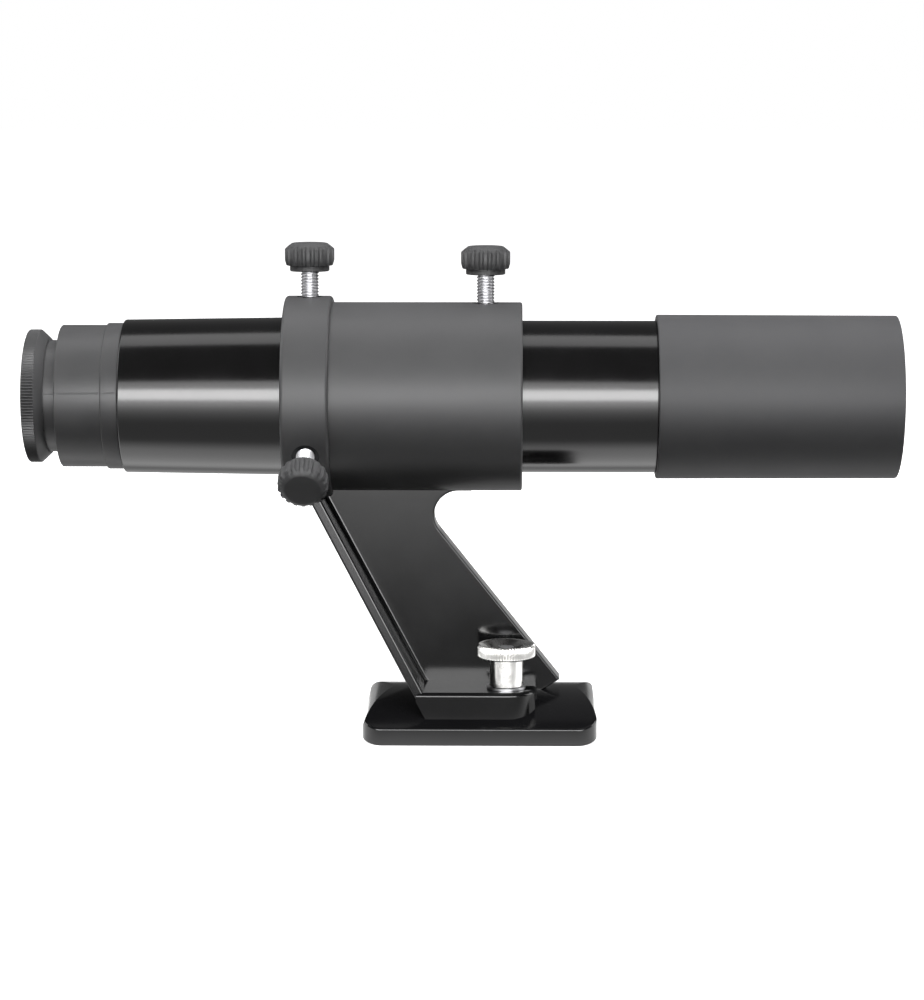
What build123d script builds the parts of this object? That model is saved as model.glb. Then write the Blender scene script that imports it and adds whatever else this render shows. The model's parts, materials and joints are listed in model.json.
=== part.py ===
from build123d import *
import math
import os

# 6x30 finder scope in an adjustable bracket on a saddle base, in millimetres.
# X runs along the sight axis towards the objective, Z is up, and the origin is the top of
# the saddle's hollow underside, midway between the two screws that hold the saddle down.

# Saddle base. Heights are counted from the saddle's lower side edges.
HOST_TUBE_RADIUS = 65.0
BASE_LENGTH = 51.4
BASE_HALF_WIDTH = 21.0
BASE_HEIGHT = 9.0
BASE_SIDE_HEIGHT = 3.7
BASE_CORNER = 4.5
BASE_REAR_ROUND = 6.5
BASE_FRONT_ROUND = 4.5
BASE_SIDE_ROUND = 0.5
SADDLE_RISE = HOST_TUBE_RADIUS - math.sqrt(HOST_TUBE_RADIUS**2 - BASE_HALF_WIDTH**2)
ARCH_RISE = BASE_HEIGHT - BASE_SIDE_HEIGHT
ARCH_RADIUS = (BASE_HALF_WIDTH**2 + ARCH_RISE**2) / (2 * ARCH_RISE)
TUBE_SCREW_SPACING = 36.0
AXIS_HEIGHT = 74.25

# Bracket: collar, band, web, flange and foot are one moulding.
COLLAR_BACK = -43.0
COLLAR_FRONT = 9.2
COLLAR_RADIUS = 20.8
COLLAR_BORE = 18.85
BAND_FRONT = -32.6
BAND_RADIUS = 22.2
WEB_HALF = 3.5
WEB_FILLET = 0.9
WEB_TIP_X = 17.7
WEB_TIP_HEIGHT = 11.25
WEB_HEEL_X = 13.2
WEB_HEEL_HEIGHT = 8.35
WEB_LEAN = 0.796
THROAT_RADIUS = 5.4
FLANGE_FOOT_X = -11.1
FLANGE_SLOPE = 0.529
FLANGE_THICKNESS = 2.3
FLANGE_TOP_HEIGHT = 60.65
FLANGE_HALF_FOOT = 17.9
FLANGE_HALF_TOP = 13.9
FOOT_HEIGHT = 11.0
FOOT_FRONT = 12.6
FOOT_CORNER = 6.4
SLOT_WIDTH = 4.4
NUT_X = 5.8
NUT_Y = 11.7

# M4 thread, shown as plain rings at the real pitch.
THREAD_RADIUS = 2.0
THREAD_ROOT = 1.68
THREAD_PITCH = 0.7
THREAD_BORE = 2.06
INSERT_RADIUS = 3.0
INSERT_LENGTH = 3.5

# Adjusting screws.
REAR_SCREW_X = -37.6
FRONT_SCREW_X = 1.1
REAR_KNOB_TOP = 33.9
FRONT_KNOB_TOP = 33.2
KNOB_HEIGHT = 6.2
KNOB_RADIUS = 5.45
KNOB_FACE_RADIUS = 3.93
KNOB_NECK_RADIUS = 4.35
KNOB_FLUTES = 18
KNOB_COVER = 1.9
TIP_GAP = 0.12

# Scope. Stations are places along the sight axis.
FRONT_TUBE_RADIUS = 16.75
FRONT_TUBE_BORE = 15.6
FRONT_TUBE_BACK = -40.0
FRONT_TUBE_FRONT = 46.0
TAIL_RADIUS_FRONT = 17.4
TAIL_RADIUS_BACK = 16.9
TAIL_TAPER_END = -43.0
TAIL_FRONT = -30.0
TAIL_BACK = -78.5
SHIELD_BACK = 38.7
SHIELD_FRONT = 91.6
SHIELD_RADIUS_BACK = 18.1
SHIELD_RADIUS_FRONT = 17.95
SHIELD_BORE = 17.1
CELL_FRONT = 57.0
LENS_RADIUS = 15.0
FLINT_BACK = 49.0
FLINT_FRONT = 51.9
CROWN_BACK = 52.3
CROWN_FRONT = 54.6
HOLDER_BACK = -92.4
HOLDER_STEP = -82.3
HOLDER_RADIUS = 15.7
HOLDER_FLANGE = 16.15
SPIGOT_RADIUS = 15.2
SPIGOT_FRONT = -72.0
RING_BACK = -99.8
RING_FRONT = -96.9
RING_CONE_FRONT = -95.2
RING_RADIUS = 14.7
RING_RIDGES = 120
RING_RIDGE_DEPTH = 0.25
NECK_RADIUS = 12.35
NECK_BORE = 12.42
NECK_FRONT = -86.4
NECK_BORE_FRONT = -84.0
BARREL_RADIUS = 11.08
BARREL_BORE = 9.6
BARREL_SLEEVE = 11.15
BARREL_BACK = -99.05
BARREL_FRONT = -70.0
EYE_LENS_BACK = -97.2
EYE_LENS_FRONT = -94.0
FIELD_LENS_BACK = -84.0
FIELD_LENS_FRONT = -80.5
STOP_FRONT = -75.0
STOP_RADIUS = 7.0
WIRE_RADIUS = 0.05

# Foot screws and their nuts.
STUD_TOP_HEIGHT = 20.25
HEAD_RADIUS = 3.6
HEAD_BOTTOM_HEIGHT = 2.4
HEAD_DEPTH = 1.6
NUT_HEAD_RADIUS = 6.35
NUT_HEAD_HEIGHT = 3.1
NUT_BARREL_RADIUS = 3.7
NUT_DISH_RADIUS = 3.0
NUT_DISH_DEPTH = 1.3
NUT_TOP_HEIGHT = 20.95
NUT_RIDGES = 60
NUT_RIDGE_DEPTH = 0.25
WASHER_THICKNESS = 0.5
WASHER_RADIUS = 4.3
REST_GAP = 0.05


def level(height):
    """Z of a height that is counted from the saddle's lower side edges."""
    return height - SADDLE_RISE


AXIS_Z = level(AXIS_HEIGHT)
HEAD_BOTTOM = level(HEAD_BOTTOM_HEIGHT)


def on_axis(solid):
    """Lift a piece that was made about the X axis onto the sight axis."""
    return Pos(0, 0, AXIS_Z) * solid


def turned(outline, soft=0):
    """Turn an outline of (x, radius) points about X, with its two outermost corners rounded."""
    face = make_face(Polyline(*outline, close=True))
    if soft:
        face = fillet(face.vertices().sort_by(Axis.Y)[-2:], soft)
    return revolve(face, Axis.X, 360)


def ring(x_back, x_front, radius, bore, soft=0):
    """A plain ring about the X axis."""
    return turned([(x_back, bore), (x_back, radius), (x_front, radius), (x_front, bore)], soft)


def disc(x_back, x_front, radius):
    """A plain round bar about the X axis."""
    return Pos((x_back + x_front) / 2, 0, 0) * Rot(0, 90, 0) * Cylinder(radius, x_front - x_back)


def ridged(count, radius, depth, height):
    """An upright bar whose side is a row of straight V ridges."""
    step = math.pi / count
    points = []
    for i in range(2 * count):
        reach = radius - depth * (i % 2)
        points.append((reach * math.cos(i * step), reach * math.sin(i * step)))
    return extrude(make_face(Polyline(*points, close=True)), height)


def lens_face(x_rim, bulge, radius, side):
    """Arc from the axis to the rim; side is -1 on a lens's back and 1 on its front."""
    ball = (radius**2 + bulge**2) / (2 * abs(bulge))
    half = math.asin(radius / ball) / 2
    vertex = x_rim + side * bulge
    drop = side * math.copysign(ball * (1 - math.cos(half)), bulge)
    return ThreePointArc((vertex, 0), (vertex - drop, ball * math.sin(half)), (x_rim, radius))


def lens(x_back, x_front, bulge_back, bulge_front, radius):
    """A lens whose rim runs from x_back to x_front; a hollow face has a negative bulge."""
    back = lens_face(x_back, bulge_back, radius, -1)
    front = lens_face(x_front, bulge_front, radius, 1)
    edge = Line(back @ 1, front @ 1)
    middle = Line(back @ 0, front @ 0)
    return revolve(make_face([back, edge, front, middle]), Axis.X, 360)


def threaded_rod(length):
    """An upright M4 rod from z = 0, with its thread as rings."""
    turns = int((length - 0.6) / THREAD_PITCH)
    points = [(0, 0), (THREAD_ROOT - 0.2, 0), (THREAD_ROOT, 0.2)]
    for i in range(turns):
        z = 0.3 + i * THREAD_PITCH
        points.append((THREAD_ROOT, z))
        points.append((THREAD_RADIUS, z + THREAD_PITCH * 0.42))
        points.append((THREAD_RADIUS, z + THREAD_PITCH * 0.54))
        points.append((THREAD_ROOT, z + THREAD_PITCH * 0.96))
    points.append((THREAD_ROOT, length))
    points.append((0, length))
    face = Plane.XZ * make_face(Polyline(*points, close=True))
    return revolve(face, Axis.Z, 360)


# ---- Saddle base

def stud_places():
    """The near stud stands forward of the web and the far one behind it, on the diagonal."""
    return [(NUT_X, -NUT_Y), (-NUT_X, NUT_Y)]


def tube_screw_places():
    half = TUBE_SCREW_SPACING / 2
    return [(-half, 0), (half, 0)]


def arch(length):
    """A bar about X whose upper side is the saddle's arched top."""
    middle = level(BASE_HEIGHT) - ARCH_RADIUS
    return Pos(0, 0, middle) * Rot(0, 90, 0) * Cylinder(ARCH_RADIUS, length)


def base_side_view():
    """The saddle seen from the side, with rounded top corners."""
    half = BASE_LENGTH / 2
    bottom, top = level(0), level(BASE_HEIGHT)
    corners = [(-half, bottom), (half, bottom), (half, top), (-half, top)]
    face = make_face(Polyline(*corners, close=True))
    upper = face.vertices().sort_by(Axis.Y)[-2:].sort_by(Axis.X)
    face = fillet(upper[0], BASE_REAR_ROUND)
    upper = face.vertices().sort_by_distance((half, top, 0))[0]
    return fillet(upper, BASE_FRONT_ROUND)


def saddle_base():
    plan = RectangleRounded(BASE_LENGTH, 2 * BASE_HALF_WIDTH, BASE_CORNER)
    body = Pos(0, 0, level(0)) * extrude(plan, BASE_HEIGHT)
    body &= arch(2 * BASE_LENGTH)
    long_edges = [e for e in body.edges().filter_by(Axis.X) if e.center().Z > level(1)]
    body = fillet(long_edges, BASE_SIDE_ROUND)
    body &= extrude(Plane.XZ * base_side_view(), BASE_HALF_WIDTH + 1, both=True)
    body -= Pos(0, 0, -HOST_TUBE_RADIUS) * Rot(0, 90, 0) * Cylinder(HOST_TUBE_RADIUS, 80)
    for x, y in stud_places():
        body -= Pos(x, y, 0) * foot_screw_cutter()
    for x, y in tube_screw_places():
        body -= Pos(x, y, INSERT_LENGTH / 2 - 1) * Cylinder(INSERT_RADIUS, INSERT_LENGTH + 2)
    return body


def head_cone():
    """The countersunk head of a foot screw."""
    middle = HEAD_BOTTOM + HEAD_DEPTH / 2
    return Pos(0, 0, middle) * Cone(HEAD_RADIUS, THREAD_ROOT, HEAD_DEPTH)


def foot_screw_cutter():
    """Countersunk hole from below for a foot screw."""
    well = Pos(0, 0, HEAD_BOTTOM - 5) * Cylinder(HEAD_RADIUS, 10)
    return well + head_cone() + Cylinder(THREAD_RADIUS, 40)


def foot_screws():
    """Two M4 screws that come up through the base and carry the thumb nuts."""
    rod_bottom = HEAD_BOTTOM + HEAD_DEPTH - 0.2
    rod = Pos(0, 0, rod_bottom) * threaded_rod(level(STUD_TOP_HEIGHT) - rod_bottom)
    screw = head_cone() + rod
    return Compound([Pos(x, y, 0) * screw.solid() for x, y in stud_places()])


def base_inserts():
    """Two steel inserts for the screws from inside the telescope tube."""
    bush = Pos(0, 0, INSERT_LENGTH / 2) * Cylinder(INSERT_RADIUS, INSERT_LENGTH)
    bush -= Cylinder(THREAD_ROOT - 0.03, 20)
    return Compound([Pos(x, y, 0) * bush.solid() for x, y in tube_screw_places()])


# ---- Bracket

def flange_x(height):
    """X of the flange's rear face at a height."""
    return FLANGE_FOOT_X - (height - BASE_SIDE_HEIGHT) * FLANGE_SLOPE


def web():
    """The upright web between the foot and the collar, seen from the side."""
    throat = AXIS_HEIGHT - COLLAR_RADIUS + 0.15
    corner_x = WEB_TIP_X - (throat - WEB_TIP_HEIGHT) * WEB_LEAN
    top = AXIS_HEIGHT - COLLAR_BORE + 0.4
    points = [
        (flange_x(top) + 1, level(top)),
        (flange_x(BASE_SIDE_HEIGHT) + 1, level(BASE_SIDE_HEIGHT)),
        (WEB_HEEL_X - 1.2, level(BASE_SIDE_HEIGHT)),
        (WEB_HEEL_X, level(WEB_HEEL_HEIGHT)),
        (WEB_TIP_X, level(WEB_TIP_HEIGHT)),
        (corner_x, level(throat)),
        (-2.0, level(throat)),
        (-2.0, level(top)),
    ]
    face = make_face(Polyline(*points, close=True))
    near = face.vertices().sort_by_distance((corner_x, level(throat), 0))[0]
    face = fillet(near, THROAT_RADIUS)
    plate = extrude(Plane.XZ * face, WEB_HALF, both=True)
    return fillet(plate.faces().filter_by(Axis.Y).edges(), 0.4)


def flange_plane():
    """The plane of the flange's rear face, facing forwards."""
    return Plane(
        origin=(FLANGE_FOOT_X, 0, level(BASE_SIDE_HEIGHT)),
        x_dir=(0, 1, 0),
        z_dir=(1, 0, FLANGE_SLOPE),
    )


def flange():
    """The sloping rear plate, wider at the foot than at the collar."""
    run = FLANGE_TOP_HEIGHT - BASE_SIDE_HEIGHT
    slant = run * math.hypot(1, FLANGE_SLOPE)
    corners = [
        (-FLANGE_HALF_FOOT, 0),
        (FLANGE_HALF_FOOT, 0),
        (FLANGE_HALF_TOP, slant),
        (-FLANGE_HALF_TOP, slant),
    ]
    plate = extrude(flange_plane() * make_face(Polyline(*corners, close=True)), FLANGE_THICKNESS)
    sides = plate.faces().sort_by(Axis.Y)
    return fillet(sides[0].edges() + sides[-1].edges(), 0.5)


def foot():
    """The plate that the nuts clamp down, its back cut off flush with the flange's rear face."""
    back = flange_x(FOOT_HEIGHT) + 1
    plan = Pos((back + FOOT_FRONT) / 2, 0) * Rectangle(FOOT_FRONT - back, 2 * FLANGE_HALF_FOOT)
    plan = fillet(plan.vertices().group_by(Axis.X)[-1], FOOT_CORNER)
    thickness = FOOT_HEIGHT - BASE_SIDE_HEIGHT
    plate = Pos(0, 0, level(BASE_SIDE_HEIGHT)) * extrude(plan, thickness)
    plate = fillet(plate.faces().sort_by(Axis.Z)[-1].edges(), 0.9)
    plate -= extrude(flange_plane() * Rectangle(100, 100), -20)
    for x, y in stud_places():
        slot = Pos(x + 20, y, 0) * Box(40, SLOT_WIDTH, 60)
        plate -= slot + Pos(x, y, 0) * Cylinder(SLOT_WIDTH / 2, 60)
    return plate


def collar():
    sleeve = ring(COLLAR_BACK, COLLAR_FRONT, COLLAR_RADIUS, COLLAR_BORE, 0.5)
    band = ring(COLLAR_BACK, BAND_FRONT, BAND_RADIUS, COLLAR_BORE, 0.8)
    return on_axis(sleeve + band)


def screw_frames():
    """X and turn about the sight axis, in degrees from upright, of each adjusting screw."""
    return {
        "rear_top": (REAR_SCREW_X, 0),
        "rear_near": (REAR_SCREW_X, 120),
        "rear_far": (REAR_SCREW_X, -120),
        "front": (FRONT_SCREW_X, 0),
    }


def at_screw(name, solid):
    """Put an upright piece, made about Z from the sight axis outwards, at a screw."""
    x, turn = screw_frames()[name]
    return Pos(x, 0, AXIS_Z) * Rot(turn, 0, 0) * solid


def insert_ends(name):
    outer = COLLAR_RADIUS - 0.25 if name == "front" else BAND_RADIUS - 0.25
    return COLLAR_BORE + 0.15, outer


def stem():
    """Web and flange, with a small fillet along the corners between them."""
    plates = web() + flange()
    reach = FLANGE_THICKNESS * math.hypot(1, FLANGE_SLOPE)
    corners = []
    for edge in plates.edges():
        middle = edge.center()
        front = flange_x(middle.Z - level(0)) + reach
        on_face = abs(abs(middle.Y) - WEB_HALF) < 0.02
        if on_face and edge.length > 20 and abs(middle.X - front) < 0.05:
            corners.append(edge)
    return fillet(corners, WEB_FILLET)


def bracket():
    bore = on_axis(disc(COLLAR_BACK - 20, COLLAR_FRONT + 20, COLLAR_BORE))
    plates = stem() + foot()
    plates -= bore
    plates -= arch(4 * BASE_LENGTH)
    body = plates + collar()
    for name in screw_frames():
        body -= at_screw(name, Pos(0, 0, 25) * Cylinder(INSERT_RADIUS, 20))
    return body


def collar_inserts():
    """Steel thread inserts of the four adjusting screws."""
    bushes = []
    for name in screw_frames():
        inner, outer = insert_ends(name)
        bush = Pos(0, 0, (inner + outer) / 2) * Cylinder(INSERT_RADIUS, outer - inner)
        bush -= Pos(0, 0, 20) * Cylinder(THREAD_BORE, 20)
        bushes.append(at_screw(name, bush.solid()))
    return Compound(bushes)


def seat_pads():
    """Two nylon pads in the collar, opposite the front screw, that the scope tilts on."""
    reach = FRONT_TUBE_RADIUS + TIP_GAP
    pad_ring = ring(FRONT_SCREW_X - 1.8, FRONT_SCREW_X + 1.8, COLLAR_BORE, reach)
    pads = []
    for turn in (120, -120):
        block = Rot(turn, 0, 0) * Pos(FRONT_SCREW_X, 0, 18) * Box(10, 6, 10)
        pads.append(on_axis(pad_ring & block).solid())
    return Compound(pads)


# ---- Adjusting screws

def knob_top(name):
    return FRONT_KNOB_TOP if name == "front" else REAR_KNOB_TOP


def tip_radius(name):
    tube = FRONT_TUBE_RADIUS if name == "front" else TAIL_RADIUS_FRONT
    return tube + TIP_GAP


def screw_shank(name):
    start = tip_radius(name)
    end = knob_top(name) - KNOB_COVER - 0.1
    return at_screw(name, Pos(0, 0, start) * threaded_rod(end - start))


def knob(name):
    """Fluted plastic knob, moulded with a small collar below."""
    top = knob_top(name)
    outline = [
        (0, -KNOB_HEIGHT),
        (KNOB_NECK_RADIUS, -KNOB_HEIGHT),
        (KNOB_NECK_RADIUS, -5.25),
        (KNOB_RADIUS - 0.35, -4.9),
        (KNOB_RADIUS, -3.85),
        (KNOB_RADIUS, -1.33),
        (KNOB_FACE_RADIUS, 0),
        (0, 0),
    ]
    face = Plane.XZ * make_face(Polyline(*outline, close=True))
    body = revolve(face, Axis.Z, 360)
    cutter = Pos(KNOB_RADIUS + 0.3, 0, 0) * Cylinder(0.62, 9.8)
    for i in range(KNOB_FLUTES):
        body -= Rot(0, 0, i * 360 / KNOB_FLUTES) * cutter
    body -= Pos(0, 0, -KNOB_HEIGHT) * Cylinder(THREAD_BORE, 2 * (KNOB_HEIGHT - KNOB_COVER))
    return at_screw(name, Pos(0, 0, top) * body.solid())


# ---- Scope

def front_tube():
    return on_axis(ring(FRONT_TUBE_BACK, FRONT_TUBE_FRONT, FRONT_TUBE_RADIUS, FRONT_TUBE_BORE))


def tail_tube():
    outline = [
        (TAIL_BACK, SPIGOT_RADIUS),
        (TAIL_BACK, TAIL_RADIUS_BACK - 0.3),
        (TAIL_BACK + 0.3, TAIL_RADIUS_BACK),
        (TAIL_TAPER_END, TAIL_RADIUS_FRONT),
        (TAIL_FRONT, TAIL_RADIUS_FRONT),
        (TAIL_FRONT, FRONT_TUBE_RADIUS),
        (FRONT_TUBE_BACK, FRONT_TUBE_RADIUS),
        (FRONT_TUBE_BACK, SPIGOT_RADIUS),
    ]
    return on_axis(turned(outline))


def dew_shield():
    outline = [
        (SHIELD_BACK, FRONT_TUBE_RADIUS),
        (SHIELD_BACK, SHIELD_RADIUS_BACK),
        (SHIELD_FRONT, SHIELD_RADIUS_FRONT),
        (SHIELD_FRONT, SHIELD_BORE),
        (CELL_FRONT, SHIELD_BORE),
        (CELL_FRONT, FRONT_TUBE_RADIUS),
    ]
    return on_axis(turned(outline, 0.35))


def objective_cell():
    outline = [
        (FRONT_TUBE_FRONT, 14.0),
        (FRONT_TUBE_FRONT, FRONT_TUBE_RADIUS),
        (CELL_FRONT, FRONT_TUBE_RADIUS),
        (CELL_FRONT, LENS_RADIUS),
        (FLINT_BACK, LENS_RADIUS),
        (FLINT_BACK, 14.0),
    ]
    return on_axis(turned(outline))


def objective_spacer():
    outline = [(FLINT_FRONT, 14.2), (FLINT_FRONT, 15.0), (CROWN_BACK, 15.0), (52.19, 14.2)]
    return on_axis(turned(outline))


def objective_retainer():
    """Threaded ring in front of the crown lens, with two notches for a spanner."""
    front = CELL_FRONT - 0.4
    outline = [(CROWN_FRONT + 0.2, 13.9), (CROWN_FRONT, 15.0), (front, 15.0), (front, 13.9)]
    body = turned(outline)
    body -= Pos(front, 0, 0) * Box(1.2, 40, 1.4)
    return on_axis(body)


def baffle(x, opening):
    return on_axis(ring(x - 0.5, x + 0.5, FRONT_TUBE_BORE, opening))


def eyepiece_holder():
    outline = [
        (HOLDER_BACK, NECK_BORE),
        (HOLDER_BACK, HOLDER_RADIUS - 0.3),
        (HOLDER_BACK + 0.3, HOLDER_RADIUS),
        (HOLDER_STEP, HOLDER_RADIUS),
        (HOLDER_STEP, HOLDER_FLANGE - 0.3),
        (HOLDER_STEP + 0.3, HOLDER_FLANGE),
        (TAIL_BACK, HOLDER_FLANGE),
        (TAIL_BACK, SPIGOT_RADIUS),
        (SPIGOT_FRONT, SPIGOT_RADIUS),
        (SPIGOT_FRONT, BARREL_SLEEVE),
        (NECK_BORE_FRONT, BARREL_SLEEVE),
        (NECK_BORE_FRONT, NECK_BORE),
    ]
    return on_axis(turned(outline))


def focus_ring():
    """Knurled ring with the sleeve that screws into the eyepiece holder."""
    outline = [
        (RING_BACK, 8.6),
        (RING_BACK, RING_RADIUS - 0.35),
        (RING_BACK + 0.35, RING_RADIUS),
        (RING_FRONT - 0.2, RING_RADIUS),
        (RING_FRONT, RING_RADIUS - 0.2),
        (RING_CONE_FRONT, 12.75),
        (RING_CONE_FRONT, NECK_RADIUS),
        (NECK_FRONT, NECK_RADIUS),
        (NECK_FRONT, BARREL_SLEEVE),
        (BARREL_BACK - 0.15, BARREL_SLEEVE),
        (BARREL_BACK - 0.15, 8.6),
    ]
    grip = Pos(RING_BACK - 1, 0, 0) * Rot(0, 90, 0) * ridged(RING_RIDGES, RING_RADIUS, RING_RIDGE_DEPTH, 20)
    return on_axis((turned(outline) & grip).solid())


def eyepiece_barrel():
    return on_axis(ring(BARREL_BACK, BARREL_FRONT, BARREL_RADIUS, BARREL_BORE))


def eye_lens_retainer():
    outline = [(BARREL_BACK, 8.4), (BARREL_BACK, 9.6), (EYE_LENS_BACK, 9.6), (-97.32, 8.4)]
    return on_axis(turned(outline))


def eyepiece_spacer():
    outline = [(-93.7, 8.6), (EYE_LENS_FRONT, 9.6), (FIELD_LENS_BACK, 9.6), (-84.35, 8.6)]
    return on_axis(turned(outline))


def field_stop():
    """Threaded ring that holds the field lens and frames the view."""
    outline = [
        (-80.4, 8.6),
        (FIELD_LENS_FRONT, BARREL_BORE),
        (STOP_FRONT, BARREL_BORE),
        (STOP_FRONT, STOP_RADIUS),
        (STOP_FRONT - 0.8, STOP_RADIUS),
        (STOP_FRONT - 1.6, 8.6),
    ]
    return on_axis(turned(outline))


def crosshair_wires():
    """Two fine wires across the field stop, one just in front of the other."""
    upright = Pos(STOP_FRONT + 0.05, 0, 0) * Cylinder(WIRE_RADIUS, 17)
    level_wire = Pos(STOP_FRONT + 0.17, 0, 0) * Rot(90, 0, 0) * Cylinder(WIRE_RADIUS, 17)
    return Compound([on_axis(upright).solid(), on_axis(level_wire).solid()])


# ---- Foot nuts

def nut_washer(x, y):
    bottom = level(FOOT_HEIGHT) + REST_GAP
    body = Cylinder(WASHER_RADIUS, WASHER_THICKNESS) - Cylinder(THREAD_BORE, 5)
    return Pos(x, y, bottom + WASHER_THICKNESS / 2) * body


def thumb_nut(x, y):
    """Knurled thumb nut with a dished head and a plain barrel."""
    bottom = level(FOOT_HEIGHT) + REST_GAP + WASHER_THICKNESS + REST_GAP
    top = level(NUT_TOP_HEIGHT)
    head = top - NUT_HEAD_HEIGHT
    outline = [
        (THREAD_BORE, bottom),
        (NUT_BARREL_RADIUS, bottom),
        (NUT_BARREL_RADIUS, head),
        (NUT_HEAD_RADIUS - 0.5, head),
        (NUT_HEAD_RADIUS, head + 0.5),
        (NUT_HEAD_RADIUS, top - 0.35),
        (NUT_HEAD_RADIUS - 0.35, top),
        (NUT_HEAD_RADIUS - 0.9, top),
        (NUT_DISH_RADIUS, top - NUT_DISH_DEPTH),
        (THREAD_BORE, top - NUT_DISH_DEPTH),
    ]
    body = revolve(Plane.XZ * make_face(Polyline(*outline, close=True)), Axis.Z, 360)
    grip = Pos(0, 0, bottom - 1) * ridged(NUT_RIDGES, NUT_HEAD_RADIUS, NUT_RIDGE_DEPTH, 20)
    return Pos(x, y, 0) * (body & grip).solid()


def nodes():
    """Every node of the object by name."""
    made = {
        "saddle_base": saddle_base(),
        "base_inserts": base_inserts(),
        "foot_screws": foot_screws(),
        "bracket": bracket(),
        "collar_inserts": collar_inserts(),
        "seat_pads": seat_pads(),
        "front_tube": front_tube(),
        "tail_tube": tail_tube(),
        "dew_shield": dew_shield(),
        "objective_cell": objective_cell(),
        "crown_lens": on_axis(lens(CROWN_BACK, CROWN_FRONT, 0.9, 1.1, LENS_RADIUS)),
        "flint_lens": on_axis(lens(FLINT_BACK, FLINT_FRONT, -0.2, -1.0, LENS_RADIUS)),
        "objective_spacer": objective_spacer(),
        "objective_retainer": objective_retainer(),
        "front_baffle": baffle(18.0, 13.2),
        "rear_baffle": baffle(-18.0, 11.4),
        "eyepiece_holder": eyepiece_holder(),
        "focus_ring": focus_ring(),
        "eyepiece_barrel": eyepiece_barrel(),
        "eye_lens": on_axis(lens(EYE_LENS_BACK, EYE_LENS_FRONT, 0.5, 1.2, BARREL_BORE)),
        "field_lens": on_axis(lens(FIELD_LENS_BACK, FIELD_LENS_FRONT, 1.4, 0.4, BARREL_BORE)),
        "eye_lens_retainer": eye_lens_retainer(),
        "eyepiece_spacer": eyepiece_spacer(),
        "field_stop": field_stop(),
        "crosshair_wires": crosshair_wires(),
    }
    for name in screw_frames():
        made[f"{name}_screw"] = screw_shank(name)
        made[f"{name}_knob"] = knob(name)
    for side, (x, y) in zip(("near", "far"), stud_places()):
        made[f"{side}_washer"] = nut_washer(x, y)
        made[f"{side}_thumb_nut"] = thumb_nut(x, y)
    return made


os.makedirs("parts", exist_ok=True)
for name, shape in nodes().items():
    export_step(shape, f"parts/{name}.step")
print(f"bore of the dew shield: radius {SHIELD_BORE}, length {SHIELD_FRONT - CELL_FRONT:.1f}")
print(f"sight axis at z = {AXIS_Z:.3f}")
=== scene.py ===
# %% [markdown]
# # A finder scope and its bracket
# This lesson dresses a working CAD model of a small finder telescope. The frame loader brings in
# every part at its real place and size. Most visible parts are then built again with finer
# meshes, and every part gets a finish that is worked out from the material of the real one, except
# that the grey bases of the satin parts and the knobs are painted sheen, and the grey of the
# bracket's ring is a painted reflection.

# %% Load the frame
import json
import math
import bmesh
import bpy
from mathutils import Matrix, Vector


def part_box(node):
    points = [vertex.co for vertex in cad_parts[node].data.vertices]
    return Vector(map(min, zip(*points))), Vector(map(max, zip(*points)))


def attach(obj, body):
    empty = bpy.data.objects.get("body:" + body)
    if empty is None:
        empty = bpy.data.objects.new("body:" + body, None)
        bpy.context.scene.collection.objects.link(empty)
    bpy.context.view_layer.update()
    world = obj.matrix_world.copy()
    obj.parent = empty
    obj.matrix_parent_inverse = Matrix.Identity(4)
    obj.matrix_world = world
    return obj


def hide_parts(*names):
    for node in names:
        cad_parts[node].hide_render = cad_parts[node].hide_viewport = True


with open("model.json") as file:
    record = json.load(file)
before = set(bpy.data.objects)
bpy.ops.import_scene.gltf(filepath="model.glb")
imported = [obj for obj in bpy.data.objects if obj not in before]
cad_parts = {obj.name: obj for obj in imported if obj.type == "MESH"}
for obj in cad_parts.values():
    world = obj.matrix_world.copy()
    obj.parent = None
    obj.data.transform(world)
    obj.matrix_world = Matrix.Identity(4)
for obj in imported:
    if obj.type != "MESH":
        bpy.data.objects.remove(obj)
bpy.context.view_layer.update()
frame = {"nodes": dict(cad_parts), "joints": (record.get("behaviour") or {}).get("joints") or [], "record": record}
MM = 0.001

# %% [markdown]
# ## Where things are
# Positions come from the frame. The sight axis runs along X, so its height is the middle of the
# front tube's box. A small function gives any node's ends and radius in millimetres.

# %% Stations
low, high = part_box("front_tube")
AXIS_Y = (low.y + high.y) / 2 / MM
AXIS_Z = (low.z + high.z) / 2 / MM


def ends(node):
    """First and last X of a node, in millimetres."""
    lo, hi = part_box(node)
    return lo.x / MM, hi.x / MM


def radius_of(node):
    """Half the width across the sight axis, in millimetres."""
    lo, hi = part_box(node)
    return (hi.y - lo.y) / 2 / MM


GROUND_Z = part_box("saddle_base")[0].z
print(f"sight axis at {AXIS_Z:.2f} mm, ground at {GROUND_Z / MM:.2f} mm")

# %% [markdown]
# ## Two small helpers for finishes
# A colour is written as the hex value an artist would pick, and turned into the linear value
# that the renderer works in. One function adds a node, sets it and links it.

# %% Colour and node helpers


def linear(hex_colour):
    """Linear RGBA of an sRGB hex colour such as '1a1a1c'."""
    values = []
    for i in (0, 2, 4):
        c = int(hex_colour[i:i + 2], 16) / 255
        values.append(c / 12.92 if c <= 0.04045 else ((c + 0.055) / 1.055) ** 2.4)
    return (*values, 1.0)


def add(tree, kind, inputs=None, **settings):
    """Add a shader node; an input that is another node's socket becomes a link."""
    node = tree.nodes.new("ShaderNode" + kind)
    for key, value in settings.items():
        setattr(node, key, value)
    for key, value in (inputs or {}).items():
        if isinstance(value, bpy.types.NodeSocket):
            tree.links.new(value, node.inputs[key])
        else:
            node.inputs[key].default_value = value
    return node


def new_material(name):
    """An empty material: its tree, and the output that a surface goes into."""
    mat = bpy.data.materials.new(name)
    mat.use_nodes = True
    mat.node_tree.nodes.clear()
    output = add(mat.node_tree, "OutputMaterial")
    return mat, mat.node_tree, output


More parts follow.
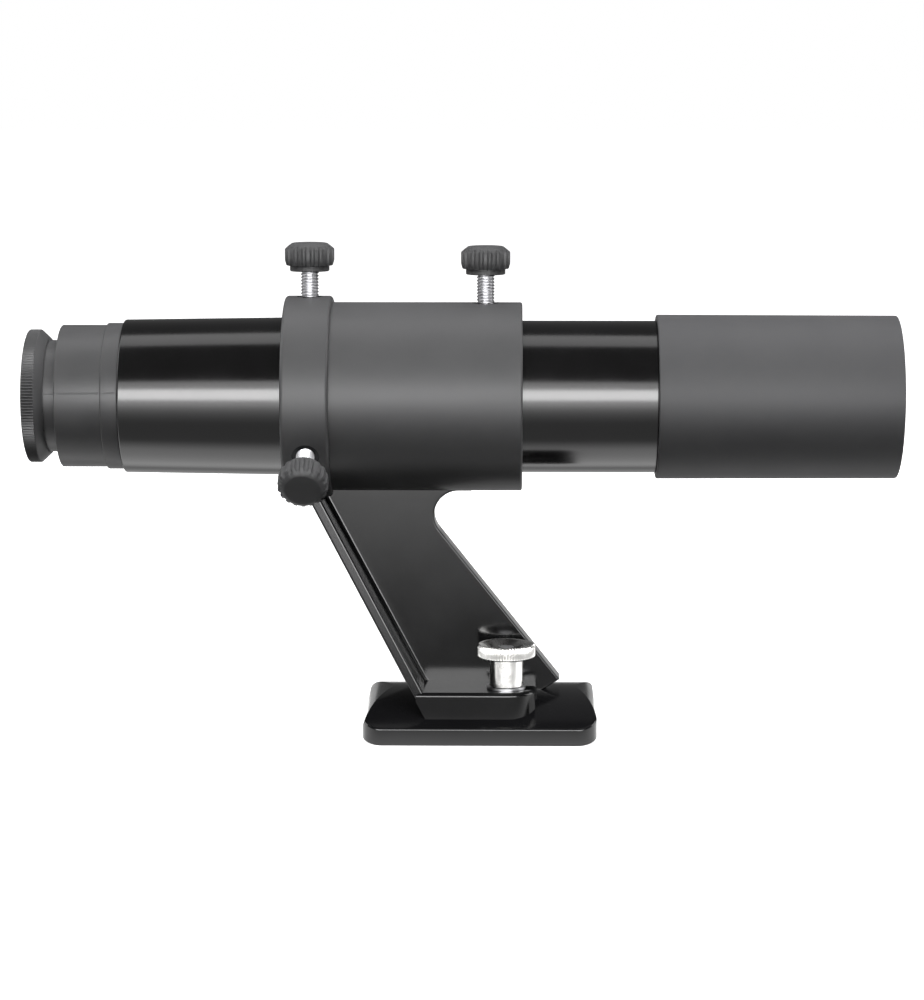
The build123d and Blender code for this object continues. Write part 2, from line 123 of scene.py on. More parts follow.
def per_mm(size):
    """Texture scale whose features repeat about every so many millimetres."""
    return 1 / (size * MM)


# %% [markdown]
# ## Moulded and painted blacks
# Black parts are told apart by their gloss. Lacquer on a tube is almost a mirror with a faint
# orange peel; a polished mould gives ABS a deep gloss; a spark-eroded mould gives a satin grain.
# One recipe makes them all: a base colour, a roughness that wanders a little, and a fine bump at
# the grain's own size. The gloss parts are near black. The satin parts and the knobs are a dark
# grey with a weak mirror layer. That grey is painted sheen, which suits this stage's lights: it
# stands in for their soft reflections, so they are greyer than real black plastic or enamel, and
# look so under other lights.

# %% A recipe for black finishes


def black_finish(name, dark, light, rough, rough_range, grain_mm, bump_mm, specular=0.5):
    """A black dielectric whose tone and gloss vary a little over the surface."""
    mat, tree, output = new_material(name)
    coord = add(tree, "TexCoord")
    cloud = add(tree, "TexNoise", {"Vector": coord.outputs["Object"], "Scale": per_mm(14.0),
                                   "Detail": 4.0, "Roughness": 0.6})
    tone = add(tree, "Mix", {"Factor": cloud.outputs["Fac"], "A": linear(dark),
                             "B": linear(light)}, data_type="RGBA")
    fine = add(tree, "TexNoise", {"Vector": coord.outputs["Object"], "Scale": per_mm(grain_mm),
                                  "Detail": 2.0})
    gloss = add(tree, "MapRange", {"Value": cloud.outputs["Fac"], "From Min": 0.3,
                                   "From Max": 0.7, "To Min": rough - rough_range,
                                   "To Max": rough + rough_range})
    bump = add(tree, "Bump", {"Height": fine.outputs["Fac"], "Strength": 1.0,
                              "Distance": bump_mm * MM})
    shader = add(tree, "BsdfPrincipled", {"Base Color": tone.outputs["Result"],
                                          "Roughness": gloss.outputs["Result"],
                                          "Normal": bump.outputs["Normal"],
                                          "IOR": 1.5, "Specular IOR Level": specular})
    tree.links.new(shader.outputs["BSDF"], output.inputs["Surface"])
    return mat


GLOSS_LACQUER = black_finish("black_gloss_lacquer_sprayed", "080808", "101011",
                             0.17, 0.02, 1.4, 0.0012)
# The grey bases of the satin enamel, holder plastic and knob nylon are painted sheen; the grey of the satin ABS is
# a painted reflection for the bracket's ring.
SATIN_ENAMEL = black_finish("black_satin_baked_enamel", "555557", "5f5f60",
                            0.5, 0.03, 0.25, 0.004, 0.15)
RING_PAINTED_REFLECTION_ABS = black_finish("black_abs_satin_ring_painted_reflection", "545455", "5e5e5f",
                         0.42, 0.04, 0.4, 0.004, 0.2)
GLOSS_ABS = black_finish("black_abs_polished_mould", "0d0d0e", "161617",
                         0.14, 0.03, 3.0, 0.002, 0.34)
BASE_ABS = black_finish("black_abs_base_polished_mould", "0f0f10", "18181a",
                        0.15, 0.04, 2.5, 0.003, 0.42)
HOLDER_PLASTIC = black_finish("black_plastic_satin_mould", "505051", "5b5b5c",
                              0.36, 0.05, 0.5, 0.003, 0.2)
KNOB_NYLON = black_finish("black_glass_filled_nylon_eroded_mould", "4f4f50", "606061",
                          0.45, 0.05, 0.18, 0.012, 0.15)
FLAT_BLACK = black_finish("flat_black_anti_reflection_paint", "0b0b0b", "121212",
                          0.85, 0.05, 0.3, 0.01, 0.1)
CELL_ANODISED = black_finish("black_anodised_aluminium", "1c1c1d", "262627",
                             0.38, 0.05, 0.4, 0.003)
print("black finishes ready")

# %% [markdown]
# ## Metals
# Bright nickel plate on the thumb nuts is nearly white, with fine turning marks. The screws are
# zinc-plated steel, greyer and softer. Turning marks are rings one above the other along Z, so
# they are bands of a wave texture, and a Mapping node can move their start to the piece.

# %% A recipe for turned metal


def turned_metal(name, colour, dull, rough, mark_mm, centre=(0, 0, 0)):
    """A metal with fine machining marks along Z of a piece that stands at centre (metres)."""
    mat, tree, output = new_material(name)
    coord = add(tree, "TexCoord")
    place = add(tree, "Mapping", {"Vector": coord.outputs["Object"],
                                  "Location": tuple(-c for c in centre)})
    cloud = add(tree, "TexNoise", {"Vector": place.outputs["Vector"], "Scale": per_mm(2.5),
                                   "Detail": 5.0, "Roughness": 0.65})
    tone = add(tree, "Mix", {"Factor": cloud.outputs["Fac"], "A": linear(dull),
                             "B": linear(colour)}, data_type="RGBA")
    marks = add(tree, "TexWave", {"Vector": place.outputs["Vector"], "Scale": per_mm(mark_mm) / 20,
                                  "Distortion": 0.6, "Detail": 2.0}, wave_type="BANDS",
                bands_direction="Z")
    gloss = add(tree, "MapRange", {"Value": cloud.outputs["Fac"], "From Min": 0.3,
                                   "From Max": 0.7, "To Min": rough * 0.8,
                                   "To Max": rough * 1.3})
    bump = add(tree, "Bump", {"Height": marks.outputs["Fac"], "Strength": 0.4,
                              "Distance": 0.004 * MM})
    shader = add(tree, "BsdfPrincipled", {"Base Color": tone.outputs["Result"],
                                          "Metallic": 1.0,
                                          "Roughness": gloss.outputs["Result"],
                                          "Normal": bump.outputs["Normal"]})
    tree.links.new(shader.outputs["BSDF"], output.inputs["Surface"])
    return mat


NICKEL = turned_metal("bright_nickel_plate_turned", "f4f3f1", "dddcd9", 0.24, 0.15)
ZINC_STEEL = turned_metal("zinc_plated_steel_rolled", "c4c4c6", "8e8e90", 0.3, 0.7)
BLACK_OXIDE = turned_metal("black_oxide_steel", "3a3a3b", "2a2a2b", 0.35, 0.3)
print("metals ready")

# %% [markdown]
# ## Glass and nylon
# The lenses are crown glass with a single-layer magnesium fluoride coating, a film of about
# 100 nanometres that leaves a faint blue-purple reflection. The seat pads are natural nylon.

# %% Glass and nylon


def lens_glass():
    mat, tree, output = new_material("crown_glass_single_coated")
    coord = add(tree, "TexCoord")
    dust = add(tree, "TexNoise", {"Vector": coord.outputs["Object"], "Scale": per_mm(3.0),
                                  "Detail": 3.0})
    gloss = add(tree, "MapRange", {"Value": dust.outputs["Fac"], "From Min": 0.3,
                                   "From Max": 0.7, "To Min": 0.0, "To Max": 0.02})
    shader = add(tree, "BsdfPrincipled", {"Base Color": linear("f3f6fa"),
                                          "Roughness": gloss.outputs["Result"],
                                          "IOR": 1.52, "Transmission Weight": 1.0,
                                          "Thin Film Thickness": 110.0,
                                          "Thin Film IOR": 1.38})
    tree.links.new(shader.outputs["BSDF"], output.inputs["Surface"])
    return mat


def natural_nylon():
    mat, tree, output = new_material("natural_nylon_moulded")
    coord = add(tree, "TexCoord")
    grain = add(tree, "TexNoise", {"Vector": coord.outputs["Object"], "Scale": per_mm(0.6)})
    tone = add(tree, "Mix", {"Factor": grain.outputs["Fac"], "A": linear("cfcbbf"),
                             "B": linear("e2dfd4")}, data_type="RGBA")
    bump = add(tree, "Bump", {"Height": grain.outputs["Fac"], "Strength": 0.5,
                              "Distance": 0.01 * MM})
    shader = add(tree, "BsdfPrincipled", {"Base Color": tone.outputs["Result"],
                                          "Roughness": 0.45, "Subsurface Weight": 0.1,
                                          "Normal": bump.outputs["Normal"]})
    tree.links.new(shader.outputs["BSDF"], output.inputs["Surface"])
    return mat


GLASS = lens_glass()
NYLON = natural_nylon()
print("glass and nylon ready")

# %% [markdown]
# ## Finishes for the CAD parts
# Parts whose CAD shape is already right keep it and only get the better finish. The dictionary
# goes from the record's material slot to the material.

# %% Dress the CAD nodes
FINISH_OF_SLOT = {
    "collar_black": GLOSS_ABS, "base_black": BASE_ABS, "tube_gloss_black": GLOSS_LACQUER,
    "shield_satin_black": SATIN_ENAMEL, "cell_black": CELL_ANODISED,
    "eyepiece_black": HOLDER_PLASTIC, "knob_black": KNOB_NYLON, "screw_steel": ZINC_STEEL,
    "nut_nickel": NICKEL, "insert_steel": BLACK_OXIDE, "pad_nylon": NYLON, "lens_glass": GLASS,
    "baffle_black": FLAT_BLACK,
}
SLOT_OF_NODE = {s["node"]: s["material_slot"] for s in frame["record"]["subparts"]}
BODY_OF_NODE = {}
for body, members in frame["record"]["behaviour"]["bodies"].items():
    for member in members:
        BODY_OF_NODE[member] = body
for node_name, obj in frame["nodes"].items():
    material = FINISH_OF_SLOT[SLOT_OF_NODE[node_name]]
    obj.data.materials.clear()
    obj.data.materials.append(material)
print("dressed", len(frame["nodes"]), "CAD nodes")

# %% [markdown]
# The bracket is given two finishes: a satin grey ring and a polished stem. The ring's grey is a
# painted reflection: it stands in for gloss black that mirrors pale surroundings, which this stage
# doesn't offer, so the ring doesn't mirror its knobs as a real one would. Faces that lie wholly
# within the ring's radius, a little more on the band, take the grey finish with its painted
# reflection.

# %% Two finishes on the bracket
RING_RADIUS = 20.83
BAND_RADIUS = 22.24
BAND_FRONT = -32.55
bracket = frame["nodes"]["bracket"]
# The ring's grey finish is a painted reflection of pale surroundings.
bracket.data.materials.append(RING_PAINTED_REFLECTION_ABS)
painted_reflection_faces = 0
for face in bracket.data.polygons:
    corners = [bracket.data.vertices[i].co / MM for i in face.vertices]
    reach = max(math.hypot(c.y - AXIS_Y, c.z - AXIS_Z) for c in corners)
    limit = BAND_RADIUS if max(c.x for c in corners) < BAND_FRONT else RING_RADIUS
    if reach < limit:
        face.material_index = 1
        painted_reflection_faces += 1
print("satin faces on the bracket:", painted_reflection_faces)

# %% [markdown]
# ## Turned parts
# Tubes, rings and knobs are made as a lathe makes them: an outline is drawn on one side of the
# axis, its corners are rounded, and it is spun all the way round. The outline is a loop, so the
# piece comes out closed, with its own wall thickness.

# %% Lathe helper


def outline_mesh(points, soft=0.0, corners=(), segments=3):
    """A closed wire in the XZ plane from (station, radius) points, with some corners rounded."""
    bm = bmesh.new()
    verts = [bm.verts.new((x, 0, r)) for x, r in points]
    for i, vert in enumerate(verts):
        bm.edges.new((vert, verts[(i + 1) % len(verts)]))
    if soft:
        picked = [verts[i] for i in corners]
        bmesh.ops.bevel(bm, geom=picked, affect="VERTICES", offset=soft, segments=segments,
                        profile=0.5, material=-1)
    return bm


def spin_x(bm, steps):
    """Spin everything in the mesh once about the X axis."""
    bmesh.ops.spin(bm, geom=bm.verts[:] + bm.edges[:], axis=(1, 0, 0), cent=(0, 0, 0),
                   dvec=(0, 0, 0), angle=2 * math.pi, steps=steps, use_merge=True)


def finish_piece(bm, name, node, materials, sharp_deg=35, matrix=None):
    """Clean a mesh that is in millimetres, place it, and hang it on the body of its node."""
    bmesh.ops.remove_doubles(bm, verts=bm.verts, dist=0.0005)
    bmesh.ops.recalc_face_normals(bm, faces=bm.faces)
    if matrix is not None:
        bmesh.ops.transform(bm, matrix=matrix, verts=bm.verts)
    bmesh.ops.scale(bm, vec=(MM, MM, MM), verts=bm.verts)
    mesh = bpy.data.meshes.new(name)
    bm.to_mesh(mesh)
    bm.free()
    mesh.shade_smooth()
    mesh.set_sharp_from_angle(angle=math.radians(sharp_deg))
    for material in materials:
        mesh.materials.append(material)
    piece = bpy.data.objects.new(name, mesh)
    bpy.context.scene.collection.objects.link(piece)
    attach(piece, BODY_OF_NODE[node])
    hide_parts(node)
    print(f"{name}: {len(mesh.polygons)} faces on {BODY_OF_NODE[node]}")
    return piece


ON_AXIS = Matrix.Translation((0, AXIS_Y, AXIS_Z))


def turned_piece(name, node, points, materials, soft=0.0, corners=(), steps=128):
    """A finished lathe part on the sight axis."""
    bm = outline_mesh(points, soft, corners)
    spin_x(bm, steps)
    return finish_piece(bm, name, node, materials, matrix=ON_AXIS)


# %% [markdown]
# ## The two tubes
# The front tube is a plain lacquered cylinder. The tail tube is slightly tapered and fatter
# towards the collar, which is why the two do not line up on either side of it.

# %% Front and tail tube
TUBE_WALL = 1.2
x0, x1 = ends("front_tube")
r_front = radius_of("front_tube")
turned_piece("front_tube_shell", "front_tube",
             [(x0, r_front - TUBE_WALL), (x0, r_front), (x1, r_front), (x1, r_front - TUBE_WALL)],
             [GLOSS_LACQUER], 0.2, (1, 2))

x0, x1 = ends("tail_tube")
r_tail = radius_of("tail_tube")
TAIL_TAPER = 0.5
TAPER_LENGTH = 35.5
SPIGOT = 15.2
SOCKET_WALL_STEP = 1.6
turned_piece("tail_tube_shell", "tail_tube",
             [(x0, SPIGOT), (x0, r_tail - TAIL_TAPER), (x0 + TAPER_LENGTH, r_tail),
              (x1, r_tail), (x1, SPIGOT + SOCKET_WALL_STEP)],
             [GLOSS_LACQUER], 0.35, (1, 3))

# %% [markdown]
# ## Dew shield
# The shield is a short satin tube over the lens. Its bore is flat black with fine grooves that
# catch stray light, so the inside faces get a second material.

# %% Dew shield
x0, x1 = ends("dew_shield")
r_shield = radius_of("dew_shield")
r_bore = 17.1
SEAT_X = 57.0
GROOVE_PITCH = 1.2
GROOVE_DEPTH = 0.12
PLAIN_END = 3.0
SHIELD_TAPER = 0.15
points = [(x0, r_front), (x0, r_shield), (x1, r_shield - SHIELD_TAPER), (x1, r_bore)]
station = x1 - PLAIN_END
while station > SEAT_X + PLAIN_END:
    points.append((station, r_bore))
    points.append((station - GROOVE_PITCH / 2, r_bore + GROOVE_DEPTH))
    station -= GROOVE_PITCH
points += [(station, r_bore), (SEAT_X, r_bore), (SEAT_X, r_front)]
shield = turned_piece("dew_shield_shell", "dew_shield", points, [SATIN_ENAMEL, FLAT_BLACK],
                      0.3, (1, 2, 3), 160)
for face in shield.data.polygons:
    reach = math.hypot(face.center.y - AXIS_Y * MM, face.center.z - AXIS_Z * MM)
    if reach < (r_bore + GROOVE_DEPTH + 0.02) * MM:
        face.material_index = 1
print("grooves:", (len(points) - 7) // 2)

# %% [markdown]
# ## Eyepiece holder
# The holder is a stepped plastic ring at the tail. It was moulded in two halves, so a parting
# line runs along it: a hair-thin raised seam, which catches the light. The seam is a small
# bevelled bar laid along each step, sunk into the surface.

# %% Eyepiece holder
x0, x1 = ends("eyepiece_holder")
r_flange = radius_of("eyepiece_holder")
STEP_X = x0 + 10.1
TAIL_X = x0 + 13.9
r_body = r_flange - 0.45
NECK_BORE = 12.42
NECK_DEPTH = 8.4
SLEEVE_BORE = 11.15
SEAM_TURN = math.radians(8.3)
SEAM_WIDTH = 0.34
SEAM_HEIGHT = 0.24


def seam(bm, x_from, x_to, radius, turn):
    """A fine raised seam along the axis on a cylinder about X."""
    bar = bmesh.ops.create_cube(bm, size=1.0)["verts"]
    bmesh.ops.scale(bm, vec=(x_to - x_from, SEAM_WIDTH, SEAM_HEIGHT), verts=bar)
    edges = {e for v in bar for e in v.link_edges}
    long_edges = [e for e in edges if abs(e.verts[0].co.x - e.verts[1].co.x) > 0.5]
    cut = bmesh.ops.bevel(bm, geom=long_edges, affect="EDGES", offset=0.05, segments=2,
                          profile=0.5, material=-1)
    bar = list({v for v in bar if v.is_valid} | set(cut["verts"]))
    bmesh.ops.translate(bm, vec=((x_from + x_to) / 2, 0, radius), verts=bar)
    bmesh.ops.rotate(bm, cent=(0, 0, 0), matrix=Matrix.Rotation(math.pi / 2 - turn, 3, "X"),
                     verts=bar)


bm = outline_mesh([(x0, NECK_BORE), (x0, r_body), (STEP_X, r_body), (STEP_X, r_flange),
                   (TAIL_X, r_flange), (TAIL_X, SPIGOT), (x1, SPIGOT), (x1, SLEEVE_BORE),
                   (x0 + NECK_DEPTH, SLEEVE_BORE), (x0 + NECK_DEPTH, NECK_BORE)],
                  0.25, (1, 3, 4))
spin_x(bm, 128)
for side in (SEAM_TURN, SEAM_TURN + math.pi):
    seam(bm, x0 + 0.5, STEP_X - 0.3, r_body, side)
    seam(bm, STEP_X + 0.5, TAIL_X - 0.4, r_flange, side)
finish_piece(bm, "eyepiece_holder_shell", "eyepiece_holder", [HOLDER_PLASTIC], matrix=ON_AXIS)

# %% [markdown]
# ## Focus ring
# The grip is a straight knurl: a row of fine ridges rolled along the axis. The ring is spun with
# two steps for each ridge, and then every second column of the band is pushed in.

# %% Focus ring
RIDGES = 140
RIDGE_DEPTH = 0.28


def push_columns(bm, steps, reach, depth, low, high, axis):
    """Push every second column of a spun band inwards, between two stations."""
    for vert in bm.verts:
        along = vert.co.x if axis == "X" else vert.co.z
        a, b = (vert.co.y, vert.co.z) if axis == "X" else (vert.co.x, vert.co.y)
        radius = math.hypot(a, b)
        if radius < reach or not low < along < high:
            continue
        column = round(math.atan2(b, a) / (2 * math.pi) * steps)
        if column % 2:
            shrink = 1 - depth / radius
            if axis == "X":
                vert.co.y, vert.co.z = a * shrink, b * shrink
            else:
                vert.co.x, vert.co.y = a * shrink, b * shrink


x0, x1 = ends("focus_ring")
r_ring = radius_of("focus_ring")
r_neck = 12.35
EYE_OPENING = 8.6
GRIP_END = x0 + 2.9
CONE_END = x0 + 4.6
bm = outline_mesh([(x0, EYE_OPENING), (x0, r_ring - 0.5), (x0 + 0.12, r_ring - 0.2),
                   (x0 + 0.35, r_ring), (GRIP_END - 0.3, r_ring), (GRIP_END, r_ring - 0.25),
                   (CONE_END, r_neck + 0.5), (CONE_END, r_neck), (x1, r_neck),
                   (x1, SLEEVE_BORE), (x0 + 0.6, SLEEVE_BORE),
                   (x0 + 0.6, EYE_OPENING)])
spin_x(bm, 2 * RIDGES)
push_columns(bm, 2 * RIDGES, r_ring - 0.05, RIDGE_DEPTH, x0, GRIP_END, "X")
seam(bm, CONE_END + 0.2, CONE_END + 2.6, r_neck - 0.06, SEAM_TURN)
finish_piece(bm, "focus_ring_grip", "focus_ring", [HOLDER_PLASTIC], matrix=ON_AXIS)

# %% [markdown]
# ## Adjusting screws
# Each screw is a steel shank with a moulded knob. The thread is a true helix: one tooth of the
# profile is spun about the screw's axis while it climbs one pitch a turn. The frame's joints say
# where each screw stands and which way it points.

# %% Screw frames
JOINTS = {j["name"]: j for j in frame["joints"]}
SCREWS = ("rear_top", "rear_near", "rear_far", "front")
THREAD_PITCH = 0.7
THREAD_CREST = 2.0
THREAD_ROOT = 1.66
THREAD_BORE = 2.06


def joint_frame(joint):
    """Matrix, in millimetres, whose Z is the joint's axis and whose origin is on it."""
    facts = JOINTS[joint]
    turn = Vector((0, 0, 1)).rotation_difference(Vector(facts["axis"]))
    return Matrix.Translation(Vector(facts["pos_m"]) / MM) @ turn.to_matrix().to_4x4()


def span(node, matrix):
    """Lowest and highest point of a node along the Z of a frame, in millimetres."""
    back = matrix.inverted()
    heights = [(back @ (v.co / MM)).z for v in frame["nodes"][node].data.vertices]
    return min(heights), max(heights)


# %% Helical thread
THREAD_STEPS = 32


def thread_mesh(length):
    """A threaded bar of a length, from z = 0 up, closed at both ends."""
    bm = bmesh.new()
    tooth = [(THREAD_ROOT, 0), (THREAD_CREST - 0.06, 0.36), (THREAD_CREST, 0.42),
             (THREAD_CREST, 0.54), (THREAD_CREST - 0.06, 0.6), (THREAD_ROOT, 0.96),
             (THREAD_ROOT, 1.0)]
    verts = [bm.verts.new((r, 0, (part - 1.5) * THREAD_PITCH)) for r, part in tooth]
    edges = [bm.edges.new(pair) for pair in zip(verts, verts[1:])]
    turns = math.ceil(length / THREAD_PITCH) + 3
    bmesh.ops.spin(bm, geom=verts + edges, axis=(0, 0, 1), cent=(0, 0, 0),
                   dvec=(0, 0, THREAD_PITCH / THREAD_STEPS), angle=2 * math.pi * turns,
                   steps=THREAD_STEPS * turns)
    bmesh.ops.remove_doubles(bm, verts=bm.verts, dist=0.001)
    for height, side in ((0, -1), (length, 1)):
        bmesh.ops.bisect_plane(bm, geom=bm.verts[:] + bm.edges[:] + bm.faces[:],
                               plane_co=(0, 0, height), plane_no=(0, 0, side),
                               clear_outer=True)
        rim = [e for e in bm.edges if e.is_boundary
               and all(abs(v.co.z - height) < 0.001 for v in e.verts)]
        bmesh.ops.edgeloop_fill(bm, edges=rim)
    return bm


# %% Shanks
for screw in SCREWS:
    place = joint_frame(screw + "_turn")
    bottom, top = span(screw + "_screw", place)
    finish_piece(thread_mesh(top - bottom), screw + "_shank", screw + "_screw", [ZINC_STEEL],
                 matrix=place @ Matrix.Translation((0, 0, bottom)))

# %% [markdown]
# ## Knobs
# The knob is a fluted nylon moulding: a flat top, a broad chamfer, a fluted band and a small
# collar below. The flutes are round-bottomed, so each column of the spun band is pushed in by
# the depth of a circle at that distance from the flute's middle.

# %% Knobs
FLUTES = 18
FLUTE_RADIUS = 0.54
KNOB_STEPS = FLUTES * 16


def flute_depth(angle, radius):
    """How deep the flute is at an angle round the knob."""
    pitch = 2 * math.pi / FLUTES
    off = (angle / pitch - round(angle / pitch)) * pitch * radius
    if abs(off) >= FLUTE_RADIUS:
        return 0.0
    return math.sqrt(FLUTE_RADIUS**2 - off**2)


def knob_mesh():
    """A fluted knob whose top is at z = 0."""
    bm = bmesh.new()
    outline = [(0, 0), (3.6, 0), (3.93, -0.08), (4.7, -0.66), (5.3, -1.17), (5.45, -1.4),
               (5.45, -3.75), (5.4, -3.92), (5.14, -4.86), (4.9, -4.97), (4.35, -5.02),
               (4.35, -6.05), (4.2, -6.2), (THREAD_BORE, -6.2),
               (THREAD_BORE, -1.9), (0, -1.9)]
    verts = [bm.verts.new((r, 0, z)) for r, z in outline]
    edges = [bm.edges.new(pair) for pair in zip(verts, verts[1:])]
    bmesh.ops.spin(bm, geom=verts + edges, axis=(0, 0, 1), cent=(0, 0, 0), dvec=(0, 0, 0),
                   angle=2 * math.pi, steps=KNOB_STEPS, use_merge=True)
    for vert in bm.verts:
        radius = math.hypot(vert.co.x, vert.co.y)
        if radius < 4.8 or vert.co.z < -4.99:
            continue
        fade = min(1.0, (radius - 4.6) / 0.7)
        cut = flute_depth(math.atan2(vert.co.y, vert.co.x), radius) * fade
        vert.co.x *= 1 - cut / radius
        vert.co.y *= 1 - cut / radius
    return bm


for screw in SCREWS:
    place = joint_frame(screw + "_turn")
    top = span(screw + "_knob", place)[1]
    finish_piece(knob_mesh(), screw + "_knob_moulding", screw + "_knob", [KNOB_NYLON],
                 sharp_deg=40, matrix=place @ Matrix.Translation((0, 0, top)))

# %% [markdown]
# ## Thumb nuts
# A thumb nut is turned from bar: a knurled head with a dished top, and a plain barrel. It is
# bright nickel plated, so it mirrors the room, and the knurl breaks that up into fine lines.

# %% Thumb nuts
NUT_RIDGES = 60
NUT_HEAD_HEIGHT = 3.1


def nut_mesh(height):
    """A dished thumb nut that stands on z = 0."""
    bm = bmesh.new()
    head = height - NUT_HEAD_HEIGHT
    outline = [(THREAD_BORE, 0), (3.55, 0), (3.7, 0.12), (3.7, head - 0.1), (3.8, head),
               (5.75, head), (6.2, head + 0.25), (6.35, head + 0.55), (6.35, height - 0.45),
               (6.25, height - 0.2), (6.0, height - 0.04), (5.75, height), (5.5, height - 0.04),
               (5.3, height - 0.14), (3.2, height - 1.55), (2.9, height - 1.65),
               (THREAD_BORE, height - 1.65)]
    verts = [bm.verts.new((r, 0, z)) for r, z in outline]
    edges = [bm.edges.new(pair) for pair in zip(verts, verts[1:] + verts[:1])]
    bmesh.ops.spin(bm, geom=verts + edges, axis=(0, 0, 1), cent=(0, 0, 0), dvec=(0, 0, 0),
                   angle=2 * math.pi, steps=2 * NUT_RIDGES, use_merge=True)
    push_columns(bm, 2 * NUT_RIDGES, 6.1, 0.28, head, height - 0.1, "Z")
    return bm


for side in ("near", "far"):
    place = joint_frame(side + "_nut_turn")
    bottom, top = span(side + "_thumb_nut", place)
    finish_piece(nut_mesh(top - bottom), side + "_thumb_nut_turned", side + "_thumb_nut",
                 [NICKEL], matrix=place @ Matrix.Translation((0, 0, bottom)))

# %% [markdown]
# ## Floor, light and camera
# The finder stands on a white floor under a white world. Gloss black shows only what it mirrors,
# so its tones are set by what each kind of ray meets, and this stage isn't a physical one.
# The camera sees a floor and a world of pure white. A mirror ray sees a floor that glows, a
# painted pool of light close under the finder and far in front of it, and a dim world; the glow
# gives painted reflections on the gloss parts. A diffuse ray sees a dark floor.
# The two front strips draw the light bands along the tubes, the overhead strip gives their upper
# halves a soft grey, and the fill lights the satin parts without showing in any reflection.

# %% Floor
FLOOR_HALF = 6.0
bm = bmesh.new()
bmesh.ops.create_grid(bm, x_segments=1, y_segments=1, size=FLOOR_HALF)
bmesh.ops.translate(bm, vec=(0, 0, GROUND_Z), verts=bm.verts)
floor_mesh = bpy.data.meshes.new("studio_floor")
bm.to_mesh(floor_mesh)
bm.free()
floor = bpy.data.objects.new("studio_floor", floor_mesh)
bpy.context.scene.collection.objects.link(floor)
mat, tree, output = new_material("white_paper_sweep")
grain = add(tree, "TexNoise", {"Vector": add(tree, "TexCoord").outputs["Object"],
                               "Scale": per_mm(40.0)})
tone = add(tree, "Mix", {"Factor": grain.outputs["Fac"], "A": linear("f1f1f1"),
                         "B": linear("f5f5f5")}, data_type="RGBA")
paper = add(tree, "BsdfPrincipled", {"Base Color": tone.outputs["Result"], "Roughness": 0.9,
                                     "Specular IOR Level": 0.1})
rays = add(tree, "LightPath")
place = add(tree, "SeparateXYZ", {"Vector": add(tree, "TexCoord").outputs["Object"]})
sideways = add(tree, "Math", {0: place.outputs["Y"]}, operation="ABSOLUTE")
# For mirror rays the floor glows: a painted pool of light under and in front of the finder, which the gloss parts
# show as painted reflections.
under = add(tree, "MapRange", {"Value": sideways.outputs["Value"], "From Min": 0.022,
                               "From Max": 0.045, "To Min": 1.7, "To Max": 0.0})
ahead = add(tree, "MapRange", {"Value": place.outputs["Y"], "From Min": -0.12, "From Max": -0.6,
                               "To Min": 0.0, "To Max": 4.0})
pool = add(tree, "Math", {0: under.outputs["Result"], 1: ahead.outputs["Result"]},
           operation="ADD")
painted_glow_strength = add(tree, "Math", {0: pool.outputs["Value"], 1: 0.6}, operation="ADD")
mirrored = add(tree, "Emission", {"Color": linear("ffffff"), "Strength": painted_glow_strength.outputs["Value"]})
dark_paper = add(tree, "BsdfDiffuse", {"Color": linear("303030")})
lift = add(tree, "Emission", {"Color": linear("ffffff"), "Strength": 1.0})
seen = add(tree, "AddShader", {0: paper.outputs["BSDF"], 1: lift.outputs["Emission"]})
direct = add(tree, "MixShader", {0: rays.outputs["Is Camera Ray"], 1: dark_paper.outputs["BSDF"],
                                 2: seen.outputs["Shader"]})
mixed = add(tree, "MixShader", {0: rays.outputs["Is Glossy Ray"], 1: direct.outputs["Shader"],
                                2: mirrored.outputs["Emission"]})
tree.links.new(mixed.outputs["Shader"], output.inputs["Surface"])
floor_mesh.materials.append(mat)

# %% Lights


def panel(name, place, aim, width, height, power):
    """A rectangular soft box at a place, facing a point."""
    light = bpy.data.lights.new(name, "AREA")
    light.shape = "RECTANGLE"
    light.size = width
    light.size_y = height
    light.energy = power
    obj = bpy.data.objects.new(name, light)
    obj.location = place
    obj.rotation_euler = (Vector(aim) - Vector(place)).to_track_quat("-Z", "Y").to_euler()
    bpy.context.scene.collection.objects.link(obj)
    return obj


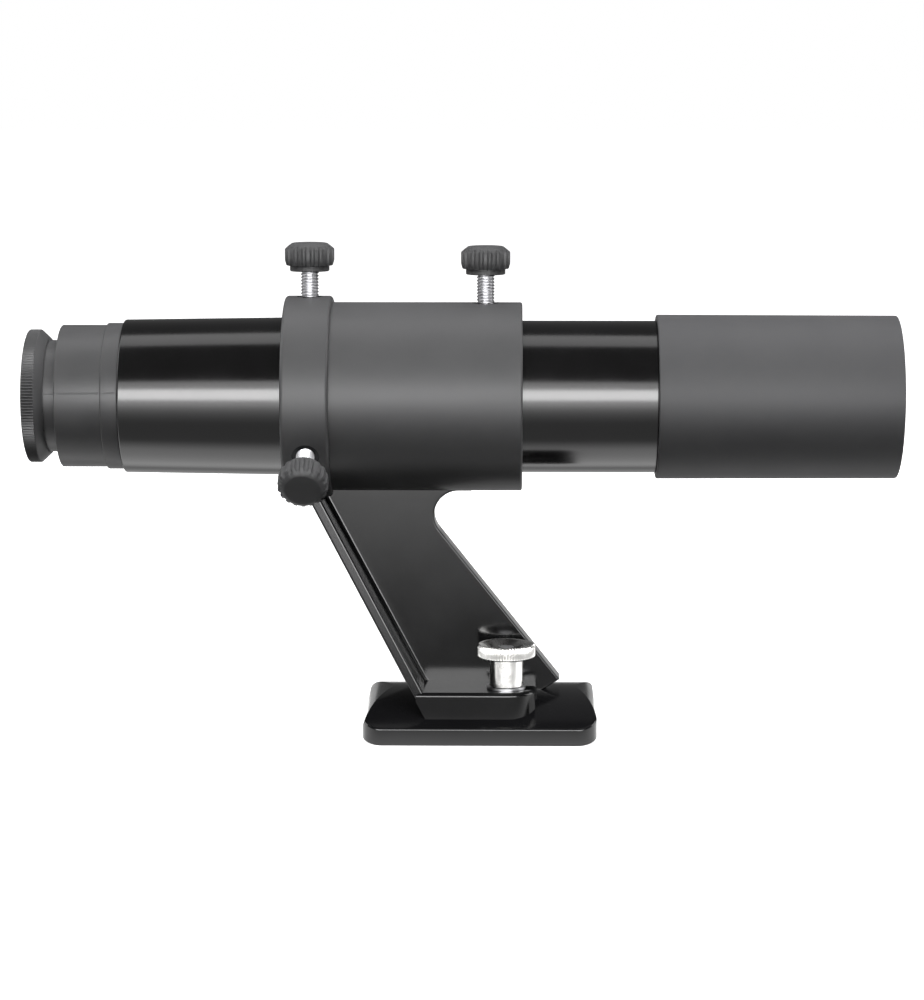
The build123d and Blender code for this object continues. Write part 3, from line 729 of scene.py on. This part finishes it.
strip = panel("front_strip", (0, -1.25, 0.24), (0, 0, 0.07), 1.6, 0.36, 22)
overhead = panel("overhead_strip", (0, 0.2, 1.25), (0, 0, 0.07), 2.6, 0.5, 8.5)
fill = panel("fill_softbox", (0, -0.85, 1.35), (0, 0, 0.05), 2.4, 1.3, 36)
glow = panel("wide_strip", (0, -1.25, 0.39), (0, 0, 0.07), 1.7, 0.62, 13)
glow.visible_diffuse = False
for side in (-1, 1):
    wing = panel("side_softbox", (1.7 * side, 0.3, 0.7), (0, 0, 0.05), 1.1, 1.1, 16)
    wing.visible_diffuse = False
strip.visible_diffuse = False
fill.visible_glossy = False
world = bpy.data.worlds.new("white_studio")
world.use_nodes = True
tree = world.node_tree
tree.nodes.clear()
white = add(tree, "Background", {"Color": linear("ffffff"), "Strength": 1.0})
rays = add(tree, "LightPath")
mirrored = add(tree, "MapRange", {"Value": rays.outputs["Is Glossy Ray"], "To Min": 0.02,
                                  "To Max": 0.13})
dim = add(tree, "Background", {"Color": linear("ffffff"),
                               "Strength": mirrored.outputs["Result"]})
seen = add(tree, "MixShader", {0: rays.outputs["Is Camera Ray"], 1: dim.outputs["Background"],
                               2: white.outputs["Background"]})
tree.links.new(seen.outputs["Shader"], add(tree, "OutputWorld").inputs["Surface"])
bpy.context.scene.world = world

# %% Camera
camera_data = bpy.data.cameras.new("view_camera")
camera_data.lens = 108.2
camera_data.sensor_width = 36.0
camera = bpy.data.objects.new("view_camera", camera_data)
bpy.context.scene.collection.objects.link(camera)
CAMERA_PLACE = Vector((0.0055, -0.661, 0.1438))
CAMERA_AIM = Vector((-0.0041, 0.0, 0.0476))
camera.location = CAMERA_PLACE
camera.rotation_euler = (CAMERA_AIM - CAMERA_PLACE).to_track_quat("-Z", "Y").to_euler()
bpy.context.scene.camera = camera
bpy.context.scene.view_settings.view_transform = "Standard"
sight = CAMERA_AIM - CAMERA_PLACE
print("camera looks down by", round(math.degrees(math.atan2(-sight.z, sight.y)), 1), "degrees")
